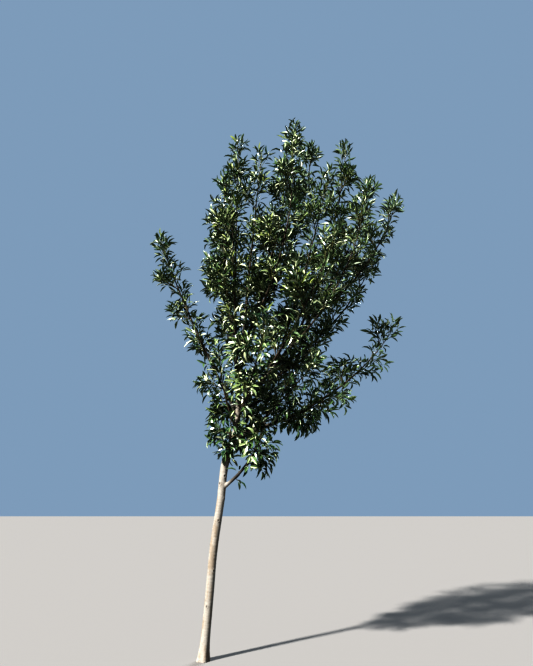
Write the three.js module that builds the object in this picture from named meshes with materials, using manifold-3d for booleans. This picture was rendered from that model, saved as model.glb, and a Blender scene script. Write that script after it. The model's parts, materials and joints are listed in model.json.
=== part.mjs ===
// A young callery pear, rooted in the ground: one leaning trunk that forks at head height, steep boughs
// that fan out of the fork, and upright masses of foliage that end in spiky shoots.
// Millimetres, +Z up. The origin is the middle of the flat cut under the trunk, at ground level.
// Seen from -Y the crown leans to +X.

import * as THREE from 'three';
import { mergeVertices } from 'three/addons/utils/BufferGeometryUtils.js';
import Module from 'manifold-3d';

const wasm = await Module();
wasm.setup();

// Driving dimensions of the trunk
const trunkBends = [
  [0, 0, 0], [22, 3, 300], [45, -3, 650], [84, -5, 962], [106, 2, 1200],
  [140, 5, 1310], [172, 2, 1390], [184, 0, 1480], [190, 0, 1640],
];
const footRadius = 28.5; // above the root flare
const waistRadius = 27; // where the trunk is thinnest below the boughs
const waistHeight = 1000;
const forkRadius = 22; // at the trunk's upper end
const knuckleSwell = 4; // the trunk is thicker where the boughs leave it
const knuckleHeight = 1290;
const knuckleReach = 130;
const flareRadius = 16; // added at ground level
const flareFade = 60; // height over which the root flare dies away
const flareLobes = 5;
const lobeDepth = 0.25; // share of the flare's radius
const levelledBelow = 12; // corners of the foot this low come down to the ground
const trunkSides = 16;
const trunkRings = 18;
const endRing = 0.499; // a ring further than this from a tube's middle is its end
const mergeWithin = 1e-3;
const sliverSize = 0.05; // slimmer slivers are taken out of a cut solid
const searchSteps = 40; // halvings, to find a height on a limb

// Driving dimensions of boughs and stems
const seat = 0.3; // clear gap where one solid rests on another
const limbTip = 6; // radius of a stem at its tip
const limbTaper = 0.85; // power of the taper along a limb
const boughSides = 6;
const stemSides = 4;
const ringSpacing = 240; // along a bough or a stem

// Driving dimensions of twigs and leaves
const slotSpacing = 150; // along a stem, between one twig or leaf and the next
const slotScatter = 0.3; // how far a twig or leaf may stray from its slot's middle, in slots
const leastSlots = 6;
const twigEvery = 3; // one slot in three bears a twig, the others a leaf
const leavesPerTwig = 4;
const leavesAtTop = 4;
const twigLength = 105;
const twigRootRadius = 5.5;
const twigTipRadius = 4.5;
const twigSides = 3;
const twigOpening = 1.0; // radians between a twig and its stem
const twigShortest = 0.8; // of twigLength
const twigLongest = 1.2;
const twigLeafStep = 0.24; // share of a twig between one leaf and the next
const twigLeafSunk = 1; // how far a leaf's root is sunk in its twig
const leafLength = 205; // each leaf stands for a spray
const leafWidth = 104;
const leafThickness = 5;
const leafBelly = 0.42; // where along the leaf it is widest
const leafSunk = 2.5; // how far a leaf's root passes the middle of its twig
const leafRooted = 3.5; // how deep in a stem a leaf's root lies
const leafRoll = 0.5; // radians a leaf may be rolled by in all
const leafOpening = 0.62; // radians between a leaf and the twig or the stem it grows on
const endLeafOpening = 0.2; // of the leaf at a twig's end
const topLeafOpening = 0.1; // of the first leaf at a stem's top, each further one opens by the next value
const topLeafSpreading = 0.2;
const topLeafDepth = 4; // below the stem's top, each further one lower by the next value
const topLeafStep = 12;
const leafTries = 9; // headings tried, each for a smaller leaf, before a leaf is left off
const sizeLost = 0.05; // share of a leaf's size lost at each new try
const openingLost = 0.06;
const turnGained = 0.7; // radians a new try may turn a leaf by, for each try before it
const fullGirth = 175; // of a mass with leaves of full size
const goldenAngle = Math.PI * (3 - Math.sqrt(5));
const levelHeight = 1850; // below it leaves hang, above it they rise
const riseHeight = 1400;
const mostPull = 0.6; // how strongly leaves and twigs hang at the crown's foot
const mostLift = 0.3; // and rise at its top
const firstSeed = 11;
const seedStep = 17; // from one mass to the next

// Free space
const wallMargin = 8; // between one mass of foliage and the next
const limbMargin = 6; // round a bough
const reachSlack = 60; // how far a leaf may stand out of its mass's outline
const bellyPlace = 0.42; // where along its stem a mass is widest
const bellyReach = 0.64; // how far along from there it would come to nothing
const endGirthSquared = 0.2; // the square of the share of its girth that a mass keeps at its ends

// Each limb leaves its parent's middle line at a height, and ends at a tip. spread and climb say how much
// of the way out and of the way up it has gone by its bend. bare is the share that is a bough without
// leaves, and girth is the radius of the mass of foliage round the rest.
const limbs = {
  leader: { from: 'trunk', height: 1640, tip: [350, -150, 3575], spread: 0.4, climb: 0.5, root: 16, bare: 0.3, girth: 170 },
  upper_right: { from: 'trunk', height: 1610, tip: [1220, -120, 3305], spread: 0.7, climb: 0.42, root: 17, bare: 0.3, girth: 160 },
  left_leader: { from: 'trunk', height: 1575, tip: [165, -20, 3800], spread: 2.5, climb: 0.5, root: 13, bare: 0.26, girth: 165 },
  right_bough: { from: 'trunk', height: 1400, tip: [1320, 0, 2140], spread: 0.65, climb: 0.26, root: 15, bare: 0.24, girth: 175 },
  low_bough: { from: 'trunk', height: 1040, tip: [400, -110, 1550], spread: 0.85, climb: 0.33, root: 12, bare: 0.4, girth: 175 },
  left_arm: { from: 'trunk', height: 1545, tip: [-405, -150, 2830], spread: 0.65, climb: 0.55, root: 11, bare: 0.3, girth: 110 },
  left_low: { from: 'trunk', height: 1440, tip: [55, -130, 1930], spread: 0.7, climb: 0.4, root: 8, bare: 0.12, girth: 150 },
  left_skirt: { from: 'trunk', height: 1200, tip: [150, -110, 1550], spread: 1.15, climb: 0.4, root: 7, bare: 0.15, girth: 140 },
  front_low: { from: 'trunk', height: 1500, tip: [380, -560, 2000], spread: 0.6, climb: 0.4, root: 9, bare: 0.22, girth: 170 },
  front_skirt: { from: 'right_bough', height: 1440, tip: [680, -300, 1795], spread: 0.4, climb: 0.4, root: 8, bare: 0.18, girth: 180 },
  back_low: { from: 'trunk', height: 1560, tip: [720, 500, 2100], spread: 0.6, climb: 0.4, root: 9, bare: 0.22, girth: 170 },
  back_skirt: { from: 'trunk', height: 1400, tip: [380, 330, 1750], spread: 0.8, climb: 0.4, root: 8, bare: 0.16, girth: 170 },
  crown_top: { from: 'leader', height: 2000, tip: [650, 60, 4020], spread: 0.65, climb: 0.45, root: 12, bare: 0.2, girth: 175 },
  top_back: { from: 'crown_top', height: 2240, tip: [810, 350, 4020], spread: 0.8, climb: 0.42, root: 9, bare: 0.18, girth: 180 },
  back_high: { from: 'leader', height: 1890, tip: [450, 560, 3480], spread: 0.75, climb: 0.4, root: 10, bare: 0.25, girth: 180 },
  back_left: { from: 'left_leader', height: 1900, tip: [40, 440, 3375], spread: 0.95, climb: 0.4, root: 8, bare: 0.28, girth: 155 },
  left_shoulder: { from: 'left_leader', height: 2150, tip: [60, -110, 3400], spread: 1.2, climb: 0.35, root: 8, bare: 0.14, girth: 130 },
  left_mid: { from: 'left_leader', height: 1800, tip: [30, 20, 2950], spread: 0.3, climb: 0.4, root: 8, bare: 0.26, girth: 135 },
  front_left: { from: 'leader', height: 1760, tip: [150, -490, 3010], spread: 0.7, climb: 0.4, root: 9, bare: 0.2, girth: 165 },
  front_high: { from: 'leader', height: 2080, tip: [590, -570, 3290], spread: 1, climb: 0.4, root: 9, bare: 0.18, girth: 180 },
  heart: { from: 'upper_right', height: 1900, tip: [900, -60, 3450], spread: 0.5, climb: 0.4, root: 9, bare: 0.16, girth: 170 },
  right_high: { from: 'upper_right', height: 2080, tip: [1095, 110, 3860], spread: 0.7, climb: 0.42, root: 10, bare: 0.16, girth: 155 },
  right_plume: { from: 'upper_right', height: 2260, tip: [1495, 140, 3355], spread: 0.7, climb: 0.4, root: 8, bare: 0.4, girth: 115 },
  right_front: { from: 'upper_right', height: 1990, tip: [1095, -440, 2930], spread: 0.8, climb: 0.4, root: 8, bare: 0.14, girth: 180 },
  right_back: { from: 'upper_right', height: 1830, tip: [1320, 430, 2930], spread: 0.65, climb: 0.4, root: 10, bare: 0.2, girth: 180 },
  right_low: { from: 'upper_right', height: 1760, tip: [810, -20, 2170], spread: 0.8, climb: 0.4, root: 8, bare: 0.16, girth: 160 },
  back_mid: { from: 'back_high', height: 2060, tip: [860, 690, 3050], spread: 0.7, climb: 0.4, root: 8, bare: 0.16, girth: 180 },
  front_mid: { from: 'upper_right', height: 1700, tip: [830, -650, 2560], spread: 0.6, climb: 0.4, root: 9, bare: 0.22, girth: 180 },
  under_right: { from: 'right_bough', height: 1480, tip: [820, -190, 1625], spread: 0.5, climb: 0.3, root: 8, bare: 0.12, girth: 170 },
};

// Materials, in the colours of the photograph
const barkMaterial = new THREE.MeshStandardMaterial({ color: 0xa39a84, roughness: 0.9, metalness: 0 });
const boughMaterial = new THREE.MeshStandardMaterial({ color: 0x77705f, roughness: 0.9, metalness: 0 });
const foliageMaterial = new THREE.MeshStandardMaterial({ color: 0x3f5a2a, roughness: 0.5, metalness: 0 });

// A repeatable row of numbers from 0 to 1
function seededNumbers(seed) {
  let state = seed >>> 0;
  return () => {
    state = (Math.imul(state, 1664525) + 1013904223) >>> 0;
    return state / 4294967296;
  };
}

function trunkRadius(z) {
  const lower = THREE.MathUtils.mapLinear(z, 0, waistHeight, footRadius, waistRadius);
  const upper = THREE.MathUtils.mapLinear(z, waistHeight, trunkTop, waistRadius, forkRadius);
  const knuckle = knuckleSwell * Math.exp(-(((z - knuckleHeight) / knuckleReach) ** 2));
  return (z < waistHeight ? lower : upper) + knuckle;
}

function limbRadius(limb, t) {
  return limb.root + (limbTip - limb.root) * t ** limbTaper;
}

// Two directions square to a heading, always turned the same way
function crossing(heading) {
  const across = new THREE.Vector3(0, 1, 0).cross(heading).normalize();
  const beyond = new THREE.Vector3().crossVectors(heading, across).normalize();
  return { across, beyond };
}

// A closed round solid that follows a curve from t0 to t1. radiusAt gives its radius from t and the turn,
// and both ends stand out by the overrun.
function tubeAlong(curve, t0, t1, radiusAt, sides, rings, overrun = 0) {
  const tube = new THREE.CylinderGeometry(1, 1, 1, sides, rings);
  const place = tube.getAttribute('position');
  const corner = new THREE.Vector3();
  for (let i = 0; i < place.count; i += 1) {
    corner.fromBufferAttribute(place, i);
    const t = t0 + (t1 - t0) * (corner.y + 0.5);
    const heading = curve.getTangent(t);
    const { across, beyond } = crossing(heading);
    const radius = radiusAt(t, Math.atan2(corner.z, corner.x));
    const point = curve.getPoint(t);
    point.addScaledVector(across, corner.x * radius);
    point.addScaledVector(beyond, -corner.z * radius);
    if (Math.abs(corner.y) > endRing) point.addScaledVector(heading, Math.sign(corner.y) * overrun);
    place.setXYZ(i, point.x, point.y, point.z);
  }
  return tube;
}

function solidOf(geometry) {
  const bare = geometry.clone();
  bare.deleteAttribute('normal');
  bare.deleteAttribute('uv');
  const merged = mergeVertices(bare, mergeWithin);
  return new wasm.Manifold(new wasm.Mesh({
    numProp: 3,
    vertProperties: merged.getAttribute('position').array,
    triVerts: new Uint32Array(merged.index.array),
  }));
}

// The mesh of a solid, placed at the point where it is rooted
function meshOf(name, solid, root, material) {
  const { vertProperties, triVerts } = solid.getMesh();
  const geometry = new THREE.BufferGeometry();
  geometry.setAttribute('position', new THREE.BufferAttribute(new Float32Array(vertProperties), 3));
  geometry.setIndex(new THREE.BufferAttribute(new Uint32Array(triVerts), 1));
  geometry.translate(-root.x, -root.y, -root.z);
  geometry.computeVertexNormals();
  const mesh = new THREE.Mesh(geometry, material);
  mesh.name = name;
  mesh.position.copy(root);
  return mesh;
}

// Where on a rising curve a height is reached
function shareAtHeight(curve, height) {
  let low = 0;
  let high = 1;
  for (let step = 0; step < searchSteps; step += 1) {
    const middle = (low + high) / 2;
    if (curve.getPoint(middle).z < height) low = middle;
    else high = middle;
  }
  return (low + high) / 2;
}

// The trunk with its root flare, or the hollow round it if something is added all round. The trunk leans,
// so its lowest ring is levelled to the ground.
function trunkTube(added = 0) {
  const tube = tubeAlong(trunkLine, 0, 1, (t, turn) => {
    const z = trunkLine.getPoint(t).z;
    const lobes = 1 + lobeDepth * Math.cos(flareLobes * turn);
    return trunkRadius(z) + flareRadius * lobes * Math.exp(-z / flareFade) + added;
  }, trunkSides, trunkRings, added);
  const place = tube.getAttribute('position');
  for (let i = 0; i < place.count; i += 1) {
    if (place.getZ(i) < levelledBelow) place.setZ(i, 0);
  }
  return tube;
}

function limbTube(limb, t0, t1, sides, added = 0) {
  const rings = Math.max(2, Math.round((limb.length * (t1 - t0)) / ringSpacing));
  return tubeAlong(limb.curve, t0, t1, (t) => limbRadius(limb, t) + added, sides, rings, added);
}

// The trunk's line, flat at its foot
const trunkTop = trunkBends[trunkBends.length - 1][2];
const trunkLine = new THREE.CatmullRomCurve3(trunkBends.map((bend) => new THREE.Vector3(...bend)));

// Where each limb runs, worked out from its parent, its tip and its bend
const lines = { trunk: trunkLine };
for (const [name, limb] of Object.entries(limbs)) {
  const parent = lines[limb.from];
  const start = parent.getPoint(shareAtHeight(parent, limb.height));
  const tip = new THREE.Vector3(...limb.tip);
  const bend = new THREE.Vector3(
    start.x + (tip.x - start.x) * limb.spread,
    start.y + (tip.y - start.y) * limb.spread,
    start.z + (tip.z - start.z) * limb.climb,
  );
  limb.curve = new THREE.QuadraticBezierCurve3(start, bend, tip);
  limb.length = limb.curve.getLength();
  limb.stemFrom = limb.bare + seat / limb.length;
  lines[name] = limb.curve;
}

// Points along the limbs, for the tests of what is near. A stem's line goes on to the tips of its leaves.
const lineSteps = 24;
const obstacles = [{ line: trunkLine, to: 1, radiusAt: (t) => trunkRadius(trunkTop * t) }];
for (const limb of Object.values(limbs)) {
  obstacles.push({ line: limb.curve, to: limb.bare, radiusAt: (t) => limbRadius(limb, t) });
  limb.stemPoints = [];
  for (let step = 0; step < lineSteps; step += 1) {
    limb.stemPoints.push(limb.curve.getPoint(limb.bare + ((1 - limb.bare) * step) / (lineSteps - 1)));
  }
  limb.stemPoints.push(limb.curve.getPoint(1).addScaledVector(limb.curve.getTangent(1), leafLength));
}
for (const obstacle of obstacles) {
  obstacle.points = [];
  for (let step = 0; step <= lineSteps; step += 1) {
    const t = (obstacle.to * step) / lineSteps;
    obstacle.points.push({ at: obstacle.line.getPoint(t), radius: obstacle.radiusAt(t) });
  }
}

// A mass is widest a little below its middle, and slim at its tip
function girthAt(limb, share) {
  const along = (share - bellyPlace) / bellyReach;
  return limb.girth * Math.sqrt(Math.max(endGirthSquared, 1 - along * along));
}

function segmentGap(point, a, b) {
  const line = new THREE.Line3(a, b);
  const share = line.closestPointToPointParameter(point, true);
  return { gap: line.at(share, new THREE.Vector3()).distanceTo(point), share };
}

// The nearest place on a mass's stem: how far away it is, and the girth of the mass there
function stemGap(point, limb) {
  let best = { gap: Infinity, girth: 1 };
  for (let step = 0; step < lineSteps; step += 1) {
    const { gap, share } = segmentGap(point, limb.stemPoints[step], limb.stemPoints[step + 1]);
    if (gap < best.gap) best = { gap, girth: girthAt(limb, (step + share) / lineSteps) };
  }
  return best;
}

// Whether a point is in a mass's own space: nearer to its stem than to any other, for their girths
function inOwnSpace(point, limb) {
  const own = stemGap(point, limb);
  if (own.gap > own.girth + reachSlack) return false;
  for (const other of Object.values(limbs)) {
    if (other === limb) continue;
    const theirs = stemGap(point, other);
    const wall = (wallMargin / 2) * (1 / own.girth + 1 / theirs.girth);
    if (theirs.gap / theirs.girth - own.gap / own.girth < wall) return false;
  }
  return true;
}

function clearOfLimbs(point, radius) {
  for (const obstacle of obstacles) {
    for (let step = 0; step < lineSteps; step += 1) {
      const from = obstacle.points[step];
      const to = obstacle.points[step + 1];
      const { gap } = segmentGap(point, from.at, to.at);
      if (gap < Math.max(from.radius, to.radius) + limbMargin + radius) return false;
    }
  }
  return true;
}

function fits(points, limb, radius) {
  return points.every((point) => inOwnSpace(point, limb) && clearOfLimbs(point, radius));
}

// A leaf's outline, as shares of its length and of its half width
const leafStations = [[0.08, 0.2], [0.24, 0.58], [leafBelly, 1], [0.72, 0.5], [1, 0]];

// Points on a leaf's midline and its edges
function leafPoints(root, heading, side, size) {
  const points = [];
  for (const [along, half] of leafStations) {
    for (const way of [-1, 0, 1]) {
      const point = root.clone().addScaledVector(heading, along * leafLength * size);
      points.push(point.addScaledVector(side, way * half * (leafWidth / 2) * size));
    }
  }
  return points;
}

// A thin leaf of eight faces from its root along a heading, widest at its belly
function leafGeometry(root, heading, side, size) {
  const leaf = new THREE.OctahedronGeometry(1);
  const place = leaf.getAttribute('position');
  const up = new THREE.Vector3().crossVectors(heading, side);
  const stations = [-leafSunk, leafLength * leafBelly * size, leafLength * size];
  for (let i = 0; i < place.count; i += 1) {
    const point = root.clone().addScaledVector(heading, stations[Math.round(place.getY(i)) + 1]);
    point.addScaledVector(side, place.getX(i) * (leafWidth / 2) * size);
    point.addScaledVector(up, -place.getZ(i) * (leafThickness / 2));
    place.setXYZ(i, point.x, point.y, point.z);
  }
  return leaf;
}

// Where along a twig its place is tested
const twigStations = [0.2, 0.4, 0.6, 0.8, 1];

// A three-sided twig
function twigGeometry(root, end) {
  const line = new THREE.LineCurve3(root, end);
  return tubeAlong(line, 0, 1, (t) => THREE.MathUtils.lerp(twigRootRadius, twigTipRadius, t), twigSides, 1);
}

// A heading that opens from another by an angle, at a turn about it. Low in the crown it is pulled down
// and high in the crown up.
function openedFrom(heading, opening, turn, height) {
  const { across, beyond } = crossing(heading);
  const opened = heading.clone().multiplyScalar(Math.cos(opening));
  opened.addScaledVector(across, Math.sin(opening) * Math.cos(turn));
  opened.addScaledVector(beyond, Math.sin(opening) * Math.sin(turn));
  const lift = THREE.MathUtils.clamp((height - levelHeight) / riseHeight, -mostPull, mostLift);
  opened.z += lift * Math.sin(opening);
  return opened.normalize();
}

// A mass of foliage: its stem, twigs and leaves in turn up the stem, and a tuft of leaves at the top.
// A leaf's flat side faces the shoot that it grows on, so the leaves stand round it like petals.
function growMass(limb, seed) {
  const random = seededNumbers(seed);
  let mass = solidOf(limbTube(limb, limb.stemFrom, 1, stemSides));
  limb.leafCount = 0;

  const growLeaf = (middle, heading, core, opening, turn) => {
    for (let attempt = 0; attempt < leafTries; attempt += 1) {
      const leafTurn = turn + (random() - 0.5) * attempt * turnGained;
      const way = openedFrom(heading, opening * (1 - openingLost * attempt), leafTurn, middle.z);
      const size = (limb.girth / fullGirth) * (1 - sizeLost * attempt);
      const root = middle.clone().addScaledVector(way, Math.max(0, core - leafRooted));
      const side = new THREE.Vector3().crossVectors(way, heading).normalize();
      side.applyAxisAngle(way, (random() - 0.5) * leafRoll);
      if (fits(leafPoints(root, way, side, size), limb, leafThickness / 2)) {
        mass = mass.add(solidOf(leafGeometry(root, way, side, size)));
        limb.leafCount += 1;
        return;
      }
    }
  };

  const growTwig = (root, heading, turn) => {
    const way = openedFrom(heading, twigOpening, turn, root.z);
    const length = twigLength * THREE.MathUtils.lerp(twigShortest, twigLongest, random());
    const end = root.clone().addScaledVector(way, length);
    const twig = twigGeometry(root, end);
    const points = twigStations.map((share) => root.clone().lerp(end, share));
    if (!fits(points, limb, twigRootRadius)) {
      growLeaf(root, heading, twigRootRadius, leafOpening, turn);
      return;
    }
    mass = mass.add(solidOf(twig));
    const firstTurn = random() * Math.PI * 2;
    for (let k = 0; k < leavesPerTwig; k += 1) {
      const foot = end.clone().lerp(root, k * twigLeafStep).addScaledVector(way, -twigLeafSunk);
      growLeaf(foot, way, 0, k === 0 ? endLeafOpening : leafOpening, firstTurn + k * goldenAngle);
    }
  };

  const stemLength = limb.length * (1 - limb.bare);
  const slots = Math.max(leastSlots, Math.round((stemLength * fullGirth) / (slotSpacing * limb.girth)));
  const firstTurn = random() * Math.PI * 2;
  for (let k = 0; k < slots; k += 1) {
    const share = (k + 0.5 + slotScatter * (random() - 0.5)) / (slots + slotScatter);
    const t = limb.bare + (1 - limb.bare) * share;
    const turn = firstTurn + k * goldenAngle;
    const root = limb.curve.getPoint(t);
    const heading = limb.curve.getTangent(t);
    if (k % twigEvery === 0) growTwig(root, heading, turn);
    else growLeaf(root, heading, limbRadius(limb, t), leafOpening, turn);
  }
  const heading = limb.curve.getTangent(1);
  for (let k = 0; k < leavesAtTop; k += 1) {
    const root = limb.curve.getPoint(1).addScaledVector(heading, -topLeafDepth - k * topLeafStep);
    growLeaf(root, heading, 0, topLeafOpening + topLeafSpreading * k, firstTurn + k * goldenAngle);
  }
  return wholeOf(mass);
}

// The largest piece of a solid, with slivers taken out
function wholeOf(solid) {
  const pieces = solid.decompose().sort((a, b) => b.volume() - a.volume());
  return pieces[0].asOriginal().simplify(sliverSize);
}

const tree = new THREE.Group();
tree.name = 'callery_pear_tree';
tree.add(meshOf('trunk', solidOf(trunkTube()), new THREE.Vector3(), barkMaterial));

// The hollows that later limbs are cut with, so that each limb rests on the ones before it
const hollows = [solidOf(trunkTube(seat))];
let seed = firstSeed;
for (const [name, limb] of Object.entries(limbs)) {
  const arm = new THREE.Group();
  let bough = solidOf(limbTube(limb, 0, limb.bare, boughSides));
  for (const hollow of hollows) bough = bough.subtract(hollow);
  arm.add(meshOf(`bough_${name}`, wholeOf(bough), limb.curve.getPoint(0), boughMaterial));
  hollows.push(solidOf(limbTube(limb, 0, limb.bare, boughSides, seat)));
  hollows.push(solidOf(limbTube(limb, limb.stemFrom, 1, stemSides, seat)));
  arm.add(meshOf(`foliage_${name}`, growMass(limb, seed), limb.curve.getPoint(limb.bare), foliageMaterial));
  seed += seedStep;
  tree.add(arm);
}

export default tree;
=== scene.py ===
# A young callery pear. The trunk and boughs get one mesh with the bark's relief, and the foliage grows on
# from the limbs by the source's rule, carried to shoots, spurs and single leaves.
import json
import math
import bmesh
import bpy
import numpy as np
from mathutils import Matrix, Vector, noise

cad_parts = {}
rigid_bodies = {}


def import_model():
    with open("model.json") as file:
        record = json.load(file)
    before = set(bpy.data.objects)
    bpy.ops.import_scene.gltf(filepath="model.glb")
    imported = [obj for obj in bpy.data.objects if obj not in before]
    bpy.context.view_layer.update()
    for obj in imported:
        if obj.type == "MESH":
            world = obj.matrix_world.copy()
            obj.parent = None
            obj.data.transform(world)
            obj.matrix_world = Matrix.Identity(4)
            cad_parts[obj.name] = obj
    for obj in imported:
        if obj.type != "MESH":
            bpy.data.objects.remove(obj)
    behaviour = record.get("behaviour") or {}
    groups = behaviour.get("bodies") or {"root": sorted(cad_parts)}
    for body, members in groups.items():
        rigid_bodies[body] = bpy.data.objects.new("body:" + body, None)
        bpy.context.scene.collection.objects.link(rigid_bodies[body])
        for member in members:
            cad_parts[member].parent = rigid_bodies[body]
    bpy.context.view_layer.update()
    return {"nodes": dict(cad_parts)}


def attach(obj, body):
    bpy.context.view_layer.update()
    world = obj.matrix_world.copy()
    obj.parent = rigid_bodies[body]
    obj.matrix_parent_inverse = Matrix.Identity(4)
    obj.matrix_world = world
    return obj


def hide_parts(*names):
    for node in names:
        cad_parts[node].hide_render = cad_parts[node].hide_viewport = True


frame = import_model()
nodeNames = sorted(frame["nodes"])
print("frame loaded,", len(nodeNames), "solids")


def placed(name, data):
    made = bpy.data.objects.new(name, data)
    bpy.context.collection.objects.link(made)
    return made


# The mesh of a bmesh shape, which is freed
def meshOf(shape, name):
    mesh = bpy.data.meshes.new(name)
    shape.to_mesh(mesh)
    shape.free()
    return mesh


# The camera stands at the photo's place, a little below eye height, and looks up
camera = {
    "place": (0.398, -3.75, 0.91),
    "tilt": 18.6,  # degrees above level
    "focalPixels": 520,
    "imageHeight": 666,
    "sensor": 36,  # mm along the image's height
}


def makeCamera():
    data = bpy.data.cameras.new("camera")
    data.sensor_width = camera["sensor"]
    data.lens = camera["sensor"] * camera["focalPixels"] / camera["imageHeight"]
    eye = placed("camera", data)
    eye.location = camera["place"]
    eye.rotation_euler = (math.radians(90 + camera["tilt"]), 0, 0)
    bpy.context.scene.camera = eye


makeCamera()
print("camera set")


# A socket that takes part in plain sums
class Flow:
    def __init__(self, finish, socket):
        self.finish = finish
        self.socket = socket

    def math(self, operation, *values):
        return self.finish.add("Math", {"operation": operation}, dict(enumerate(values)))

    def __add__(self, other):
        return self.math("ADD", self, other)

    def __sub__(self, other):
        return self.math("SUBTRACT", self, other)

    def __rsub__(self, other):
        return self.math("SUBTRACT", other, self)

    def __mul__(self, other):
        return self.math("MULTIPLY", self, other)

    __radd__, __rmul__ = __add__, __mul__


# A material under construction
class Finish:
    def __init__(self, name):
        self.material = bpy.data.materials.new(name)
        self.material.use_nodes = True
        self.tree = self.material.node_tree
        self.shader = next(n for n in self.tree.nodes if n.type == "BSDF_PRINCIPLED")

    # Adds a node: its settings first, then the values or links of its sockets. Gives one of its outputs.
    def add(self, kind, settings, sockets, output=0):
        node = self.tree.nodes.new("ShaderNode" + kind)
        for key, value in settings.items():
            setattr(node, key, value)
        for key, value in sockets.items():
            self.feed(node.inputs[key], value)
        return Flow(self, node.outputs[output])

    def feed(self, socket, value):
        if isinstance(value, Flow):
            self.tree.links.new(value.socket, socket)
        else:
            socket.default_value = value

    def noise(self, place, scale, detail, roughness=0.55):
        sockets = {"Vector": place, "Scale": scale, "Detail": detail, "Roughness": roughness}
        return self.add("TexNoise", {}, sockets)

    # 0 below the first value and 1 above the second
    def step(self, value, low, high):
        sockets = {"Value": value, "From Min": low, "From Max": high}
        return self.add("MapRange", {"interpolation_type": "SMOOTHSTEP"}, sockets)

    def blend(self, share, below, above):
        sockets = {0: share, 6: below, 7: above}  # 6, 7 and output 2 are for colours
        return self.add("Mix", {"data_type": "RGBA"}, sockets, output=2)

    def set(self, **sockets):
        for name, value in sockets.items():
            self.feed(self.shader.inputs[name.replace("_", " ")], value)


# A colour given as it is seen on a screen, 0 to 255
def seen(red, green, blue):
    return tuple((level / 255) ** 2.2 for level in (red, green, blue)) + (1,)


barkLook = {
    "pale": seen(127, 124, 119),  # the trunk where it is smooth
    "warm": seen(117, 109, 99),
    "grey": seen(100, 98, 93),
    "young": seen(50, 47, 43),  # thin limbs: their own darker bark, deepened further as painted shade
    "knot": seen(44, 40, 36),
    "stoutRadius": 0.021,  # limbs this thick have the trunk's colour
    "thinRadius": 0.011,
    # Each pattern's stretch across and along the limb, scale, detail, and the values its marks grow between
    "patterns": {
        "patches": ((1, 1, 0.5), 26, 4, 0.46, 0.62),
        "rings": ((0.12, 0.12, 1), 260, 2, 0.54, 0.66),
        "dashes": ((0.3, 0.3, 1), 420, 1, 0.66, 0.74),
        "streaks": ((1, 1, 0.06), 150, 3, 0.55, 0.72),
    },
    "grainScale": 900, "grainDetail": 2,
    "shares": {"rings": 0.45, "streaks": 0.35, "dashes": 0.6},  # how far the marks take the colour
    "heights": {"rings": 0.5, "dashes": 0.35, "grain": 0.25, "streaks": 0.3},  # in the bump
    "bumpStrength": 0.55, "bumpDistance": 0.0016,
    "roughness": 0.86, "ringPolish": 0.1,
}


# The patterns follow each limb: the place along and across it is kept on the mesh
def makeBark():
    bark = Finish("pear_bark")
    outputs = {"limbPlace": 1, "stoutness": 2, "knotShade": 2}  # 1 is a vector and 2 a number
    limbPlace, stoutness, knotShade = (
        bark.add("Attribute", {"attribute_name": name}, {}, output) for name, output in outputs.items())
    soft, marks = {}, {}
    for name, (stretch, scale, detail, low, high) in barkLook["patterns"].items():
        place = bark.add("VectorMath", {"operation": "MULTIPLY"}, {0: limbPlace, 1: stretch})
        soft[name] = bark.noise(place, scale, detail)
        marks[name] = bark.step(soft[name], low, high)
    grain = bark.noise(limbPlace, barkLook["grainScale"], barkLook["grainDetail"])
    age = bark.step(stoutness, barkLook["thinRadius"], barkLook["stoutRadius"])
    shares, heights = barkLook["shares"], barkLook["heights"]
    old = bark.blend(marks["patches"], barkLook["pale"], barkLook["warm"])
    old = bark.blend(marks["rings"] * shares["rings"], old, barkLook["grey"])
    # Thin limbs take the young colour, their own darker bark with painted shade in it
    colour = bark.blend(age, barkLook["young"], old)
    for name, tone in {"streaks": "grey", "dashes": "knot"}.items():
        colour = bark.blend(marks[name] * shares[name], colour, barkLook[tone])
    colour = bark.blend(knotShade, colour, barkLook["knot"])
    height = soft["rings"] * heights["rings"] + marks["dashes"] * heights["dashes"]
    height = height + grain * heights["grain"] - marks["streaks"] * heights["streaks"]
    sockets = {"Strength": barkLook["bumpStrength"], "Distance": barkLook["bumpDistance"], "Height": height}
    roughness = barkLook["roughness"] - marks["rings"] * barkLook["ringPolish"]
    bark.set(Base_Color=colour, Roughness=roughness, Normal=bark.add("Bump", {}, sockets))
    return bark.material


# Leaves and shoots have plain colours, dealt out by spray: colour, roughness and gloss
leafLook = {
    "deep": (seen(38, 60, 44), 0.34, 0.8),
    "middle": (seen(75, 96, 64), 0.36, 0.8),
    "light": (seen(114, 128, 92), 0.38, 0.8),
    "young": (seen(110, 122, 64), 0.42, 0.8),
    "painted_glint": (seen(148, 154, 128), 0.44, 0.8),  # painted glint: a pale half of a leaf that stands in for the sun shining off its wax
    # the underside: its own paler green, toned down as painted shade
    "underside": (seen(76, 92, 70), 0.5, 0.5),
    "stalk": (seen(112, 118, 70), 0.5, 0.5),
}
woodLook = {
    "stem": (seen(60, 53, 45), 0.75, 0.5),
    "twig": (seen(60, 52, 41), 0.7, 0.5),
    "shoot": (seen(84, 84, 50), 0.6, 0.5),
}


def makePlain(name, colour, roughness, gloss):
    plain = Finish(name)
    plain.set(Base_Color=colour, Roughness=roughness, Specular_IOR_Level=gloss)
    return plain.material


barkMaterial = makeBark()
leafMaterials = [makePlain("leaf_" + name, *look) for name, look in leafLook.items()]
woodMaterials = [makePlain("wood_" + name, *look) for name, look in woodLook.items()]
leafSlots = {name: slot for slot, name in enumerate(leafLook)}
woodSlots = {name: slot for slot, name in enumerate(woodLook)}
print("materials made")


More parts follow.
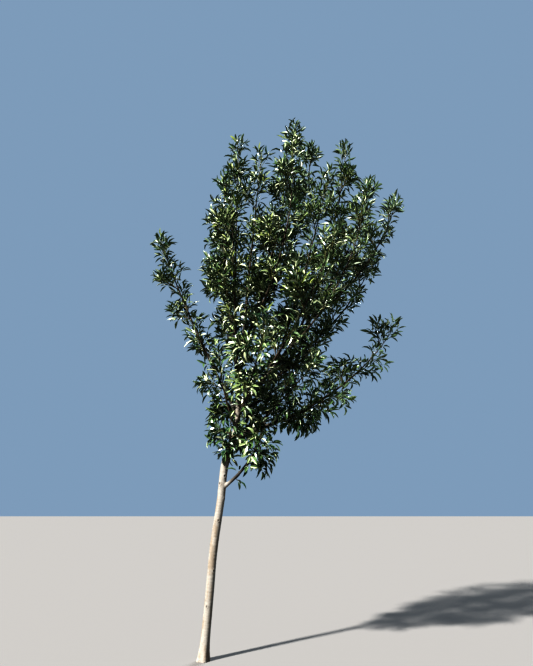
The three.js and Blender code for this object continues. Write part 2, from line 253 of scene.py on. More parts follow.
# The trunk as the source has it, in metres
trunk = {
    "bends": [
        (0, 0, 0), (0.022, 0.003, 0.3), (0.045, -0.003, 0.65), (0.084, -0.005, 0.962), (0.106, 0.002, 1.2),
        (0.14, 0.005, 1.31), (0.172, 0.002, 1.39), (0.184, 0, 1.48), (0.19, 0, 1.64),
    ],
    "footRadius": 0.0285, "waistRadius": 0.027, "waistHeight": 1.0, "forkRadius": 0.022,
    "knuckleSwell": 0.004, "knuckleHeight": 1.29, "knuckleReach": 0.13,
    "flareRadius": 0.016, "flareFade": 0.06, "flareLobes": 5, "lobeDepth": 0.25,
}

# The limbs as the source has them, in metres. spread and climb say how far out and up a limb has gone by its
# bend, bare is the share without foliage, and root and girth are the radii of its foot and its foliage.
# full is the share of side shoots grown, and group names the pieces that the foliage goes into.
limbRules = {"tip": 0.006, "taper": 0.85, "searchSteps": 40}
limbColumns = ("parent", "height", "tip", "spread", "climb", "root", "bare", "girth", "full", "group")
limbRows = {
    "leader": ("trunk", 1.64, (0.35, -0.15, 3.575), 0.4, 0.5, 0.016, 0.3, 0.17, 1, "middle"),
    "upper_right": ("trunk", 1.61, (1.22, -0.12, 3.305), 0.7, 0.42, 0.017, 0.3, 0.16, 1, "right"),
    "left_leader": ("trunk", 1.575, (0.165, -0.02, 3.8), 2.5, 0.5, 0.013, 0.26, 0.165, 0.8, "left"),
    "right_bough": ("trunk", 1.4, (1.32, 0, 2.14), 0.65, 0.26, 0.015, 0.24, 0.175, 0.7, "low"),
    "low_bough": ("trunk", 1.04, (0.4, -0.11, 1.55), 0.85, 0.33, 0.012, 0.4, 0.175, 0.75, "low"),
    "left_arm": ("trunk", 1.545, (-0.405, -0.15, 2.83), 0.65, 0.55, 0.011, 0.3, 0.11, 0.6, "left"),
    "left_low": ("trunk", 1.44, (0.055, -0.13, 1.93), 0.7, 0.4, 0.008, 0.12, 0.15, 0.85, "left"),
    "left_skirt": ("trunk", 1.2, (0.15, -0.11, 1.55), 1.15, 0.4, 0.007, 0.15, 0.14, 0.75, "low"),
    "front_low": ("trunk", 1.5, (0.38, -0.56, 2), 0.6, 0.4, 0.009, 0.22, 0.17, 1, "front"),
    "front_skirt": ("right_bough", 1.44, (0.68, -0.3, 1.795), 0.4, 0.4, 0.008, 0.18, 0.18, 1, "front"),
    "back_low": ("trunk", 1.56, (0.72, 0.5, 2.1), 0.6, 0.4, 0.009, 0.22, 0.17, 1, "back"),
    "back_skirt": ("trunk", 1.4, (0.38, 0.33, 1.75), 0.8, 0.4, 0.008, 0.16, 0.17, 1, "back"),
    "crown_top": ("leader", 2.0, (0.65, 0.06, 4.02), 0.65, 0.45, 0.012, 0.2, 0.175, 0.8, "middle"),
    "top_back": ("crown_top", 2.24, (0.81, 0.35, 4.02), 0.8, 0.42, 0.009, 0.18, 0.18, 1, "back"),
    "back_high": ("leader", 1.89, (0.45, 0.56, 3.48), 0.75, 0.4, 0.01, 0.25, 0.18, 0.8, "back"),
    "back_left": ("left_leader", 1.9, (0.04, 0.44, 3.375), 0.95, 0.4, 0.008, 0.28, 0.155, 0.6, "back"),
    "left_shoulder": ("left_leader", 2.15, (0.06, -0.11, 3.4), 1.2, 0.35, 0.008, 0.14, 0.13, 0.75, "left"),
    "left_mid": ("left_leader", 1.8, (0.03, 0.02, 2.95), 0.3, 0.4, 0.008, 0.26, 0.135, 0.5, "left"),
    "front_left": ("leader", 1.76, (0.15, -0.49, 3.01), 0.7, 0.4, 0.009, 0.2, 0.165, 0.8, "front"),
    "front_high": ("leader", 2.08, (0.59, -0.57, 3.29), 1, 0.4, 0.009, 0.18, 0.18, 0.8, "front"),
    "heart": ("upper_right", 1.9, (0.9, -0.06, 3.45), 0.5, 0.4, 0.009, 0.16, 0.17, 1, "middle"),
    "right_high": ("upper_right", 2.08, (1.095, 0.11, 3.86), 0.7, 0.42, 0.01, 0.16, 0.155, 1, "right"),
    "right_plume": ("upper_right", 2.26, (1.495, 0.14, 3.355), 0.7, 0.4, 0.008, 0.4, 0.115, 0.4, "right"),
    "right_front": ("upper_right", 1.99, (1.095, -0.44, 2.93), 0.8, 0.4, 0.008, 0.14, 0.18, 1, "front"),
    "right_back": ("upper_right", 1.83, (1.32, 0.43, 2.93), 0.65, 0.4, 0.01, 0.2, 0.18, 1, "back"),
    "right_low": ("upper_right", 1.76, (0.81, -0.02, 2.17), 0.8, 0.4, 0.008, 0.16, 0.16, 1, "low"),
    "back_mid": ("back_high", 2.06, (0.86, 0.69, 3.05), 0.7, 0.4, 0.008, 0.16, 0.18, 1, "back"),
    "front_mid": ("upper_right", 1.7, (0.83, -0.65, 2.56), 0.6, 0.4, 0.009, 0.22, 0.18, 1, "front"),
    "under_right": ("right_bough", 1.48, (0.82, -0.19, 1.625), 0.5, 0.3, 0.008, 0.12, 0.17, 1, "low"),
}
limbs = {name: dict(zip(limbColumns, row)) for name, row in limbRows.items()}


def unit(vector):
    return vector / math.sqrt(vector[0] ** 2 + vector[1] ** 2 + vector[2] ** 2)


def cross(a, b):
    return np.array((a[1] * b[2] - a[2] * b[1], a[2] * b[0] - a[0] * b[2], a[0] * b[1] - a[1] * b[0]))


def between(first, last, share):
    return first + (last - first) * share


# A value at a share of its span, which is its least value and how much more there may be
def ranged(span, share):
    least, more = span
    return least + more * share


# Two directions square to a heading, always turned the same way
def crossing(heading):
    across = unit(cross((0, 1, 0), heading))
    return across, cross(heading, across)


# A smooth line through the bends
class TrunkLine:
    def __init__(self, bends):
        points = [np.array(bend, float) for bend in bends]
        self.last = len(points) - 1
        self.points = [2 * points[0] - points[1], *points, 2 * points[-1] - points[-2]]

    def at(self, share):
        place = min(max(share, 0), 1) * self.last
        index = min(int(place), self.last - 1)
        a, b, c, d = self.points[index:index + 4]
        before, within, beyond = (math.sqrt(math.dist(p, q)) for p, q in ((a, b), (b, c), (c, d)))
        leave = ((b - a) / before - (c - a) / (before + within) + (c - b) / within) * within
        arrive = ((c - b) / within - (d - b) / (within + beyond) + (d - c) / beyond) * within
        w = place - index
        return (b + leave * w + (3 * (c - b) - 2 * leave - arrive) * w ** 2
                + (2 * (b - c) + leave + arrive) * w ** 3)


# A limb's line leaves its start towards the bend and comes to its tip from there
class LimbLine:
    def __init__(self, start, bend, tip):
        self.ends = start, bend, tip

    def at(self, share):
        start, bend, tip = self.ends
        return (1 - share) ** 2 * start + 2 * (1 - share) * share * bend + share ** 2 * tip


def headingAt(line, share, reach=0.0001):
    return unit(line.at(min(share + reach, 1)) - line.at(max(share - reach, 0)))


def lengthOf(line, steps=200):
    return sum(math.dist(line.at(k / steps), line.at((k + 1) / steps)) for k in range(steps))


# Where on a rising line a height is reached
def shareAtHeight(line, height):
    low, high = 0, 1
    for _ in range(limbRules["searchSteps"]):
        middle = (low + high) / 2
        if line.at(middle)[2] < height:
            low = middle
        else:
            high = middle
    return (low + high) / 2


def trunkRadius(z):
    waist = trunk["waistHeight"]
    if z < waist:
        radius = between(trunk["footRadius"], trunk["waistRadius"], z / waist)
    else:
        share = (z - waist) / (trunk["bends"][-1][2] - waist)
        radius = between(trunk["waistRadius"], trunk["forkRadius"], share)
    out = (z - trunk["knuckleHeight"]) / trunk["knuckleReach"]
    return radius + trunk["knuckleSwell"] * math.exp(-out ** 2)


def limbRadius(limb, share):
    return between(limb["root"], limbRules["tip"], share ** limbRules["taper"])


def layOutLimbs():
    lines = {"trunk": TrunkLine(trunk["bends"])}
    for name, limb in limbs.items():
        parent = lines[limb["parent"]]
        start = parent.at(shareAtHeight(parent, limb["height"]))
        tip = np.array(limb["tip"], float)
        bend = between(start, tip, (limb["spread"], limb["spread"], limb["climb"]))
        limb["line"] = LimbLine(start, bend, tip)
        limb["length"] = lengthOf(limb["line"])
        lines[name] = limb["line"]
    return lines


lines = layOutLimbs()
print("limbs laid out,", len(limbs))


# The rule that the source grows its masses by, in metres and radians. A spray is one of its leaves.
rule = {
    "firstSeed": 11, "seedStep": 17,
    "slotSpacing": 0.15, "slotScatter": 0.3, "leastSlots": 6,
    "twigEvery": 3,  # one slot in three bears a twig, the others a spray
    "twigLength": 0.105,
    "twigSpan": (0.8, 0.4),  # the least share of that length, and how much more there may be
    "twigRootRadius": 0.0055, "twigOpening": 1.0,
    "leavesPerTwig": 4, "twigLeafStep": 0.24, "twigLeafSunk": 0.001, "endOpening": 0.2,
    "leavesAtTop": 4, "topDepth": 0.004, "topStep": 0.012, "topOpening": 0.1, "topSpreading": 0.2,
    "sprayLength": 0.205, "sprayWidth": 0.104, "sprayThickness": 0.005, "sprayBelly": 0.42,
    "sprayOpening": 0.62, "sprayRooted": 0.0035, "sprayRoll": 0.5, "fullGirth": 0.175,
    "tries": 9, "turnGained": 0.7, "openingLost": 0.06, "sizeLost": 0.05,
    "levelHeight": 1.85, "riseHeight": 1.4, "mostPull": 0.6, "mostLift": 0.3,
    "wallMargin": 0.008, "limbMargin": 0.006, "reachSlack": 0.06, "lineSteps": 24,
    "bellyPlace": 0.42, "bellyReach": 0.64, "endGirthSquared": 0.2,
}
goldenAngle = math.pi * (3 - math.sqrt(5))


# A repeatable row of numbers from 0 to 1
def seededNumbers(seed):
    state = seed

    def following():
        nonlocal state
        state = (state * 1664525 + 1013904223) % 4294967296
        return state / 4294967296

    return following


# Gaps from points to segments, the nearest places as shares of them, and the ways from there
def toSegments(points, starts, alongs):
    apart = np.expand_dims(points, tuple(range(1, starts.ndim))) - starts
    share = np.clip((apart * alongs).sum(-1) / (alongs ** 2).sum(-1), 0, 1)
    reach = apart - share[..., None] * alongs
    return np.sqrt((reach ** 2).sum(-1)), share, reach


# The stems' and the bare limbs' lines as segments, for the tests of what is near
class Space:
    def __init__(self):
        steps = rule["lineSteps"]
        counts = range(steps + 1)
        bare = [[lines["trunk"].at(k / steps) for k in counts]]
        radii = [[trunkRadius(trunk["bends"][-1][2] * k / steps) for k in counts]]
        stems = []
        for limb in limbs.values():
            line, share = limb["line"], limb["bare"]
            stem = [line.at(share + (1 - share) * k / (steps - 1)) for k in range(steps)]
            stems.append(stem + [line.at(1) + headingAt(line, 1) * rule["sprayLength"]])
            bare.append([line.at(share * k / steps) for k in counts])
            radii.append([limbRadius(limb, share * k / steps) for k in counts])
        self.stems, self.bare = ((row[:, :-1], np.diff(row, axis=1)) for row in map(np.array, (stems, bare)))
        radii = np.array(radii)
        self.bareRadius = np.maximum(radii[:, :-1], radii[:, 1:])
        self.girths = np.array([limb["girth"] for limb in limbs.values()])

    # In a mass's own space points are nearer to its stem than to any other, for their girths
    def holds(self, points, index):
        gap, share, _ = toSegments(points, *self.stems)
        nearest = gap.argmin(-1)[..., None]
        gap, share = (np.take_along_axis(values, nearest, -1)[..., 0] for values in (gap, share))
        along = ((nearest[..., 0] + share) / rule["lineSteps"] - rule["bellyPlace"]) / rule["bellyReach"]
        girth = self.girths * np.sqrt(np.maximum(rule["endGirthSquared"], 1 - along ** 2))
        ownGap, ownGirth = gap[:, index], girth[:, index]
        if (ownGap > ownGirth + rule["reachSlack"]).any():
            return False
        wall = rule["wallMargin"] / 2 * (1 / ownGirth[:, None] + 1 / girth)
        free = gap / girth - (ownGap / ownGirth)[:, None] >= wall
        free[:, index] = True
        return bool(free.all())

    def fits(self, points, index, radius):
        if not self.holds(points, index):
            return False
        gap, _, _ = toSegments(points, *self.bare)
        return bool((gap >= self.bareRadius + rule["limbMargin"] + radius).all())


# A heading that opens from another at a turn about it, pulled down low in the crown and up high in it
def openedFrom(heading, opening, turn, height):
    across, beyond = crossing(heading)
    opened = heading * math.cos(opening)
    opened = opened + across * math.sin(opening) * math.cos(turn)
    opened = opened + beyond * math.sin(opening) * math.sin(turn)
    lift = (height - rule["levelHeight"]) / rule["riseHeight"]
    opened[2] += min(max(lift, -rule["mostPull"]), rule["mostLift"]) * math.sin(opening)
    return unit(opened)


def turnedAbout(vector, axis, angle):
    return vector * math.cos(angle) + cross(axis, vector) * math.sin(angle)  # the two are square


# Where a spray and a twig are tested: the share of the length, and for a spray that of its half width
sprayStations = [(0.08, 0.2), (0.24, 0.58), (rule["sprayBelly"], 1), (0.72, 0.5), (1, 0)]
twigStations = (0.2, 0.4, 0.6, 0.8, 1)


def sprayPoints(root, way, side, size):
    points = []
    for along, half in sprayStations:
        for hand in (-1, 0, 1):
            middle = root + way * along * rule["sprayLength"] * size
            points.append(middle + side * hand * half * rule["sprayWidth"] / 2 * size)
    return np.array(points)


# The twigs and sprays of one mass, where the source has its twigs and leaves
def growMass(index, limb):
    random = seededNumbers(rule["firstSeed"] + rule["seedStep"] * index)
    line = limb["line"]
    twigs, sprays = [], []

    def addSpray(middle, heading, core, opening, turn):
        for attempt in range(rule["tries"]):
            sprayTurn = turn + (random() - 0.5) * attempt * rule["turnGained"]
            way = openedFrom(heading, opening * (1 - rule["openingLost"] * attempt), sprayTurn, middle[2])
            size = limb["girth"] / rule["fullGirth"] * (1 - rule["sizeLost"] * attempt)
            root = middle + way * max(0, core - rule["sprayRooted"])
            side = turnedAbout(unit(cross(way, heading)), way, (random() - 0.5) * rule["sprayRoll"])
            if space.fits(sprayPoints(root, way, side, size), index, rule["sprayThickness"] / 2):
                sprays.append((root, way, size))
                return

    def addTwig(root, heading, turn):
        way = openedFrom(heading, rule["twigOpening"], turn, root[2])
        end = root + way * rule["twigLength"] * ranged(rule["twigSpan"], random())
        points = np.array([between(root, end, share) for share in twigStations])
        if not space.fits(points, index, rule["twigRootRadius"]):
            addSpray(root, heading, rule["twigRootRadius"], rule["sprayOpening"], turn)
            return
        twigs.append((root, end))
        firstTurn = random() * math.tau
        for k in range(rule["leavesPerTwig"]):
            foot = end + (root - end) * k * rule["twigLeafStep"] - way * rule["twigLeafSunk"]
            opening = rule["sprayOpening"] if k else rule["endOpening"]
            addSpray(foot, way, 0, opening, firstTurn + k * goldenAngle)

    wanted = limb["length"] * (1 - limb["bare"]) * rule["fullGirth"] / (rule["slotSpacing"] * limb["girth"])
    slots = max(rule["leastSlots"], int(wanted + 0.5))  # rounded as in the source
    firstTurn = random() * math.tau
    for k in range(slots):
        share = (k + 0.5 + rule["slotScatter"] * (random() - 0.5)) / (slots + rule["slotScatter"])
        place = between(limb["bare"], 1, share)
        turn = firstTurn + k * goldenAngle
        root, heading = line.at(place), headingAt(line, place)
        if k % rule["twigEvery"] == 0:
            addTwig(root, heading, turn)
        else:
            addSpray(root, heading, limbRadius(limb, place), rule["sprayOpening"], turn)
    heading = headingAt(line, 1)
    for k in range(rule["leavesAtTop"]):
        root = line.at(1) - heading * (rule["topDepth"] + k * rule["topStep"])
        opening = rule["topOpening"] + rule["topSpreading"] * k
        addSpray(root, heading, 0, opening, firstTurn + k * goldenAngle)
    return twigs, sprays


space = Space()
masses = {name: growMass(index, limb) for index, (name, limb) in enumerate(limbs.items())}
twigCount, sprayCount = (sum(map(len, rows)) for rows in zip(*masses.values()))
print("masses grown,", sprayCount, "sprays,", twigCount, "twigs")


def addPiece(mesh, materials, replaced):
    piece = placed(mesh.name, mesh)
    for material in materials:
        mesh.materials.append(material)
    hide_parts(*replaced)
    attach(piece, "root")


barkShape = {
    "voxel": 0.0034,
    "trunkSides": 40, "boughSides": 16,
    "trunkRingSpacing": 0.015, "ringSpacing": 0.03, "leastRings": 4,
    "belowGround": 0.02,  # share of the trunk's line, cut off again once the limbs are joined
    "cutHeight": 0.0001,
    "overlap": 0.015,  # how far a bough runs into the stem that goes on from it
    "collar": 0.45,  # a limb's swelling where it leaves its parent, as a share of its radius
    "collarReach": 0.03,
    "smoothing": 4, "smoothingShare": 0.5,
    # The place of each corner along and across its limb
    "placeSteps": 60, "placeOverrun": 0.02, "batch": 4000,
    "patternShift": 0.37,  # no two limbs show the same stretch of the pattern
    "barkRunOut": 0.035,  # how far the parent's bark runs out along the foot of a limb
    # The relief: rings and swellings, by their scales across and along the limb, growing with its radius
    "relief": 0.0007, "flatBelow": 0.001,
    "ringScales": (30, 30, 70),
    "swellingScales": (45, 45, 14), "swellingShare": 0.7,
    "fullReliefRadius": 0.02, "reliefLimits": (0.4, 1.3),
}
# Knots where lost twigs have healed: a low ring round a hollow, in shares of the knot's radius
knotShape = {
    "squash": (1, 1, 0.8),
    "ring": (0.22, 0.9, 0.45),  # height, radius and breadth
    "hollow": (0.12, 0.4),  # depth and breadth
    "shadeBreadth": 0.55,
    # Height, turn about the trunk in degrees, radius
    "knots": [
        (0.31, 250, 0.009), (0.52, 310, 0.008), (0.68, 200, 0.007), (0.83, 285, 0.009), (0.97, 330, 0.008),
        (1.07, 230, 0.012), (1.12, 300, 0.01), (1.19, 275, 0.008), (0.44, 120, 0.008), (0.76, 60, 0.009),
        (1.02, 150, 0.01), (1.27, 100, 0.011),
    ],
}


# A closed round tube along a line, its radius given for each share and turn
def tubeMesh(line, first, last, radiusAt, sides, rings):
    tube = bmesh.new()
    bmesh.ops.create_cone(tube, cap_ends=True, segments=sides, radius1=1, radius2=1, depth=1)
    upright = [e for e in tube.edges if e.verts[0].co.z * e.verts[1].co.z < 0]  # from the foot to the top
    bmesh.ops.subdivide_edges(tube, edges=upright, cuts=rings - 1)
    for corner in tube.verts:
        share = between(first, last, corner.co.z + 0.5)
        turn = math.atan2(corner.co.y, corner.co.x)
        inside = min(max(share, 0), 1)
        heading = headingAt(line, inside)
        across, beyond = crossing(heading)
        radius = radiusAt(inside, turn)
        middle = line.at(inside) + heading * (share - inside)
        corner.co = middle + (across * math.cos(turn) - beyond * math.sin(turn)) * radius
    return meshOf(tube, "tube")


def trunkTube():
    line = lines["trunk"]
    rings = int(lengthOf(line) / barkShape["trunkRingSpacing"])

    def radiusAt(share, turn):
        z = line.at(share)[2]
        lobes = 1 + trunk["lobeDepth"] * math.cos(trunk["flareLobes"] * turn)
        return trunkRadius(z) + trunk["flareRadius"] * lobes * math.exp(-z / trunk["flareFade"])

    return tubeMesh(line, -barkShape["belowGround"], 1, radiusAt, barkShape["trunkSides"], rings)


# The radius of the parent where a limb leaves it
def rootedIn(limb):
    return trunkRadius(limb["height"]) if limb["parent"] == "trunk" else limb["root"]


def boughTube(limb):
    parentRadius = rootedIn(limb)
    last = limb["bare"] + barkShape["overlap"] / limb["length"]
    rings = max(barkShape["leastRings"], int(limb["length"] * last / barkShape["ringSpacing"]))

    def radiusAt(share, turn):
        out = max(0, share * limb["length"] - parentRadius)
        collar = barkShape["collar"] * math.exp(-out / barkShape["collarReach"])
        return limbRadius(limb, share) * (1 + collar)

    return tubeMesh(limb["line"], 0, last, radiusAt, barkShape["boughSides"], rings)


# Each corner's place along and across the limb it belongs to, and how stout the limb is there
def limbPlaces(points):
    steps = barkShape["placeSteps"]
    rows = []
    for name, line in lines.items():
        limb = limbs.get(name)
        last = limb["bare"] + barkShape["placeOverrun"] if limb else 1
        length = lengthOf(line)
        offset = barkShape["patternShift"] * len(rows)
        for k in range(steps):
            share = last * k / steps
            start = line.at(share)
            along = line.at(last * (k + 1) / steps) - start
            radius = stout = trunkRadius(start[2])
            if limb:
                radius, parentRadius = limbRadius(limb, share), rootedIn(limb)
                out = max(0, share * length - parentRadius)
                stout = between(radius, parentRadius, math.exp(-out / barkShape["barkRunOut"]))
            sofar = offset + share * length
            rows.append((start, along, sofar, radius, stout, crossing(headingAt(line, share))))
    starts, alongs, sofar, radii, stout, frames = (np.array(column) for column in zip(*rows))
    places, stoutness = np.empty((len(points), 3)), np.empty(len(points))
    for first in range(0, len(points), barkShape["batch"]):
        batch = slice(first, first + barkShape["batch"])
        gap, share, reach = toSegments(points[batch], starts, alongs)
        nearest = (gap - radii).argmin(1)
        row = np.arange(len(gap))
        share, reach = share[row, nearest], reach[row, nearest]
        places[batch, :2] = (reach[:, None] * frames[nearest]).sum(-1)
        places[batch, 2] = share * np.sqrt((alongs[nearest] ** 2).sum(-1)) + sofar[nearest]
        stoutness[batch] = stout[nearest]
    return places, stoutness


# How far the knots stand out of the trunk at each point, and how dark they are there
def knotRelief(points):
    out, shade = np.zeros(len(points)), np.zeros(len(points))
    line = lines["trunk"]
    ringHeight, ringRadius, ringBreadth = knotShape["ring"]
    depth, breadth = knotShape["hollow"]
    for height, turn, radius in knotShape["knots"]:
        share = shareAtHeight(line, height)
        angle = math.radians(turn)
        centre = line.at(share) + np.array((math.cos(angle), math.sin(angle), 0)) * trunkRadius(height)
        far = np.sqrt((((points - centre) * knotShape["squash"]) ** 2).sum(1)) / radius
        ring = ringHeight * radius * np.exp(-((far - ringRadius) / ringBreadth) ** 2)
        out += ring - depth * radius * np.exp(-(far / breadth) ** 2)
        shade = np.maximum(shade, np.exp(-(far / knotShape["shadeBreadth"]) ** 2))
    return out, shade


def makeBarkMesh():
    joined = bmesh.new()
    for mesh in [trunkTube()] + [boughTube(limb) for limb in limbs.values()]:
        joined.from_mesh(mesh)
        bpy.data.meshes.remove(mesh)
    draft = placed("bark_draft", meshOf(joined, "bark_draft"))
    remesh = draft.modifiers.new("join", "REMESH")
    remesh.mode = "VOXEL"
    remesh.voxel_size = barkShape["voxel"]
    fused = bpy.data.meshes.new_from_object(draft.evaluated_get(bpy.context.evaluated_depsgraph_get()))
    bpy.data.objects.remove(draft)
    skin = bmesh.new()
    skin.from_mesh(fused)
    bpy.data.meshes.remove(fused)
    for _ in range(barkShape["smoothing"]):
        bmesh.ops.smooth_vert(
            skin, verts=skin.verts, factor=barkShape["smoothingShare"],
            use_axis_x=True, use_axis_y=True, use_axis_z=True)
    ground = bmesh.ops.bisect_plane(
        skin, geom=skin.verts[:] + skin.edges[:] + skin.faces[:],
        plane_co=(0, 0, barkShape["cutHeight"]), plane_no=(0, 0, 1), clear_inner=True)
    rim = [e for e in ground["geom_cut"] if isinstance(e, bmesh.types.BMEdge)]
    for edge in rim:
        for corner in edge.verts:
            corner.co.z = 0
    bmesh.ops.edgeloop_fill(skin, edges=rim)
    bmesh.ops.recalc_face_normals(skin, faces=skin.faces)
    return meshOf(skin, "bark")


def noiseAt(places, scales):
    return np.array([noise.noise(Vector(place)) for place in places * scales])


def carveBark(mesh):
    count = len(mesh.vertices)
    points, normals = np.empty(count * 3), np.empty(count * 3)
    mesh.vertices.foreach_get("co", points)
    mesh.vertices.foreach_get("normal", normals)
    points, normals = points.reshape(-1, 3), normals.reshape(-1, 3)
    places, stoutness = limbPlaces(points)
    relief = noiseAt(places, barkShape["ringScales"])
    relief += barkShape["swellingShare"] * noiseAt(places, barkShape["swellingScales"])
    strength = np.clip(stoutness / barkShape["fullReliefRadius"], *barkShape["reliefLimits"])
    knots, shade = knotRelief(points)
    out = relief * barkShape["relief"] * strength + knots
    out[points[:, 2] < barkShape["flatBelow"]] = 0
    points += normals * out[:, None]
    mesh.vertices.foreach_set("co", points.ravel())
    mesh.attributes.new("limbPlace", "FLOAT_VECTOR", "POINT").data.foreach_set("vector", places.ravel())
    for name, values in {"stoutness": stoutness, "knotShade": shade}.items():
        mesh.attributes.new(name, "FLOAT", "POINT").data.foreach_set("value", values)
    mesh.shade_smooth()


barkMesh = makeBarkMesh()
carveBark(barkMesh)
bare = [name for name in nodeNames if name == "trunk" or name.startswith("bough_")]
addPiece(barkMesh, [barkMaterial], bare)
print("bark made,", len(barkMesh.polygons), "faces")


# Gathers points, triangles and the triangles' material slots into one mesh
class Pile:
    def __init__(self):
        self.count = 0
        self.parts = [], [], []

    def add(self, points, triangles, slots):
        for part, rows in zip(self.parts, (points, triangles + self.count, slots)):
            part.append(rows)
        self.count += len(points)

    def mesh(self, name, sharpAngle):
        points, triangles, slots = (np.concatenate(part) for part in self.parts)
        mesh = bpy.data.meshes.new(name)
        mesh.vertices.add(len(points))
        mesh.vertices.foreach_set("co", points.astype(np.float32).ravel())
        mesh.loops.add(len(triangles) * 3)
        mesh.loops.foreach_set("vertex_index", triangles.astype(np.int32).ravel())
        mesh.polygons.add(len(triangles))
        mesh.polygons.foreach_set("loop_start", np.arange(0, len(triangles) * 3, 3, dtype=np.int32))
        mesh.polygons.foreach_set("material_index", slots.astype(np.int32))
        mesh.update(calc_edges=True)
        mesh.validate()
        mesh.shade_smooth()
        mesh.set_sharp_from_angle(angle=math.radians(sharpAngle))
        return mesh


leafShape = {
    "stations": [(0, 0), (0.18, 0.7), (0.48, 1), (0.78, 0.56), (1, 0)],  # along and half width
    "stalk": 0.17,  # share of the leaf's length
    "stalkRadius": 0.008,
    "stalkRunOn": 1.3,  # the stalk ends under the blade
    "stalkLift": 0.006,
    "halfWidth": 0.126, "thickness": 0.008, "sharpAngle": 30,
    "seed": 4021, "forms": 10,
    # The spans that the forms differ in
    "curl": (0.2, 1.5), "curlPower": 1.4, "lean": (0.1, 0.35),
    "fold": (0.45, 0.5), "twist": 0.8, "width": (0.85, 0.35),
}


# A leaf one unit long, from its stalk's foot along +Y with its upper side towards +Z: folded along the
# midrib, its tip bent down. Gives points, triangles and their kinds: 0 and 1 are the upper side left and
# right of the midrib, 2 the underside and 3 the stalk.
def leafForm(curl, fold, twist, width):
    points, rows = [], []
    y, z, lean, before = leafShape["stalk"], 0.0, ranged(leafShape["lean"], curl), 0
    thick = leafShape["thickness"] / 2
    for along, half in leafShape["stations"]:
        lean -= curl * (along - before)
        stride = (along - before) * (1 - leafShape["stalk"])
        y += stride * math.cos(lean)
        z += stride * math.sin(lean)
        before = along
        middle = np.array((0, y, z))
        up = np.array((0, -math.sin(lean), math.cos(lean)))
        corners = [middle]
        if half > 0:
            corners = [middle + up * thick, middle - up * thick]
            reach = half * width
            for hand in (-1, 1):
                tilt = fold + hand * twist * along
                edge = middle + np.array((hand * math.cos(tilt) * reach, 0, 0))
                corners.append(edge + up * math.sin(tilt) * reach)
        rows.append(range(len(points), len(points) + len(corners)))
        points.extend(corners)

    sides = ((2, 0, 0), (0, 3, 1), (3, 1, 2), (1, 2, 2))  # two corners of a row, and the kind between them
    faces = [(rows[0][0], rows[1][b], rows[1][a], kind) for a, b, kind in sides]
    faces += [(rows[-1][0], rows[-2][a], rows[-2][b], kind) for a, b, kind in sides]
    for near, far in zip(rows[1:-2], rows[2:-1]):
        for a, b, kind in sides:
            faces += [(near[a], near[b], far[b], kind), (near[a], far[b], far[a], kind)]
    foot = len(points)
    for k in range(3):
        turn = k * math.tau / 3 + math.pi / 2
        points.append(np.array((math.cos(turn), 0, math.sin(turn))) * leafShape["stalkRadius"])
    points.append(np.array((0, leafShape["stalk"] * leafShape["stalkRunOn"], leafShape["stalkLift"])))
    faces += [(foot + (k + 1) % 3, foot + k, foot + 3, 3) for k in range(3)]
    faces = np.array(faces + [(foot, foot + 1, foot + 2, 3)])
    return np.array(points), faces[:, :3], faces[:, 3]


# Leaves from nearly straight to strongly bent, all a little different
def leafForms():
    random = seededNumbers(leafShape["seed"])
    forms = []
    for k in range(leafShape["forms"]):
        bent = ((k + random()) / leafShape["forms"]) ** leafShape["curlPower"]
        curl = ranged(leafShape["curl"], bent)
        fold = ranged(leafShape["fold"], random())
        twist = (random() - 0.5) * leafShape["twist"]
        width = leafShape["halfWidth"] * ranged(leafShape["width"], random())
        forms.append(leafForm(curl, fold, twist, width))
    return forms


